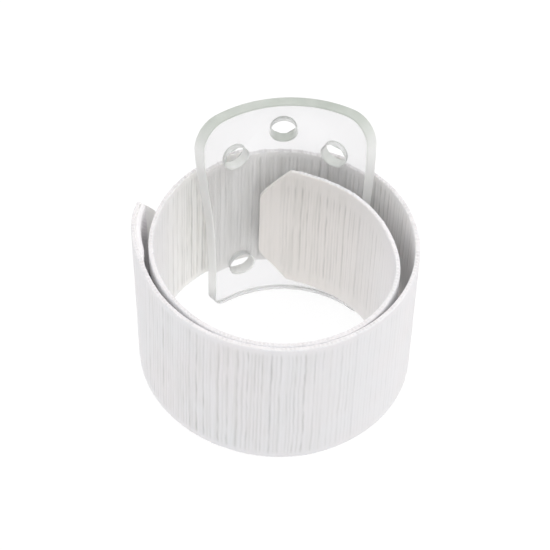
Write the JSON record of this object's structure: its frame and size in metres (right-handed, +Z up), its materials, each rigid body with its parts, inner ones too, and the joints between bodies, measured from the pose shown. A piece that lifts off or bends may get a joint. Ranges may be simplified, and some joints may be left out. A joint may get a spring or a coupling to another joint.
{
  "type": "elastic wrist strap",
  "caption": "White ribbed elastic wrist strap wound into a loose ring of nearly two turns, with a clear curved plate with holes standing inside the winding.",
  "frame": {"origin": "on the level surface that the part stands on, under the middle of its footprint", "axes": "+Z up; +X to the right of a viewer in front; +Y to the back, where the clear plate stands"},
  "size_m": [0.0692, 0.0728, 0.0646],
  "materials": {
    "strap": "matte white cross-ribbed elastic webbing",
    "seal": "smooth pressed warm white border",
    "patch": "dull white hook tape",
    "plate": "clear polished acrylic, faint green at its edges"
  },
  "bodies": {
    "ring": {"strap_ring": "strap"},
    "inner_1": {"inner_section_1": "strap"},
    "inner_2": {"inner_section_2": "strap"},
    "inner_3": {"inner_section_3": "strap", "inner_end_seal": "seal"},
    "outer_1": {"outer_section_1": "strap"},
    "outer_2": {"outer_section_2": "strap"},
    "outer_3": {"outer_section_3": "strap"},
    "outer_4": {"outer_section_4": "strap"},
    "outer_5": {"outer_section_5": "strap"},
    "outer_6": {"outer_section_6": "strap"},
    "outer_7": {"outer_section_7": "strap", "outer_end_seal": "seal", "closing_patch": "patch"},
    "plate": {"clear_plate": "plate"}
  },
  "joints": [
    {"name": "inner_bend_1", "type": "hinge", "parent": "ring", "child": "inner_1", "pos_m": [0.02552, -0.01565, 0.02012], "axis": [0.0506, -0.12, 0.9915], "range_deg": [-1, 20]},
    {"name": "inner_bend_2", "type": "hinge", "parent": "inner_1", "child": "inner_2", "pos_m": [0.02514, 0.0052, 0.02307], "axis": [0.0506, -0.12, 0.9915], "range_deg": [-1, 20]},
    {"name": "inner_bend_3", "type": "hinge", "parent": "inner_2", "child": "inner_3", "pos_m": [0.01327, 0.01919, 0.02577], "axis": [0.0506, -0.12, 0.9915], "range_deg": [-1, 20]},
    {"name": "outer_bend_1", "type": "hinge", "parent": "ring", "child": "outer_1", "pos_m": [0.02978, 0.017, 0.02386], "axis": [0.0506, -0.12, 0.9915], "range_deg": [0, 34]},
    {"name": "outer_bend_2", "type": "hinge", "parent": "outer_1", "child": "outer_2", "pos_m": [0.03342, -0.00305, 0.02124], "axis": [0.0506, -0.12, 0.9915], "range_deg": [0, 34]},
    {"name": "outer_bend_3", "type": "hinge", "parent": "outer_2", "child": "outer_3", "pos_m": [0.02567, -0.02165, 0.01939], "axis": [0.0506, -0.12, 0.9915], "range_deg": [0, 34]},
    {"name": "outer_bend_4", "type": "hinge", "parent": "outer_3", "child": "outer_4", "pos_m": [0.00882, -0.03299, 0.01888], "axis": [0.0506, -0.12, 0.9915], "range_deg": [0, 34]},
    {"name": "outer_bend_5", "type": "hinge", "parent": "outer_4", "child": "outer_5", "pos_m": [-0.01137, -0.03183, 0.02005], "axis": [0.0506, -0.12, 0.9915], "range_deg": [0, 34]},
    {"name": "outer_bend_6", "type": "hinge", "parent": "outer_5", "child": "outer_6", "pos_m": [-0.02687, -0.0196, 0.02232], "axis": [0.0506, -0.12, 0.9915], "range_deg": [0, 34]},
    {"name": "outer_bend_7", "type": "hinge", "parent": "outer_6", "child": "outer_7", "pos_m": [-0.03387, -0.00112, 0.02491], "axis": [0.0506, -0.12, 0.9915], "range_deg": [0, 34]},
    {"name": "plate_slide", "type": "slide", "parent": "ring", "child": "plate", "axis": [0.0506, -0.12, 0.9915], "range_m": [0, 0.055]}
  ],
  "couplings": [
    {"joint": "inner_bend_2", "follows": "inner_bend_1", "ratio": 1},
    {"joint": "inner_bend_3", "follows": "inner_bend_1", "ratio": 1},
    {"joint": "outer_bend_2", "follows": "outer_bend_1", "ratio": 1},
    {"joint": "outer_bend_3", "follows": "outer_bend_1", "ratio": 1},
    {"joint": "outer_bend_4", "follows": "outer_bend_1", "ratio": 1},
    {"joint": "outer_bend_5", "follows": "outer_bend_1", "ratio": 1},
    {"joint": "outer_bend_6", "follows": "outer_bend_1", "ratio": 1},
    {"joint": "outer_bend_7", "follows": "outer_bend_1", "ratio": 1}
  ]
}
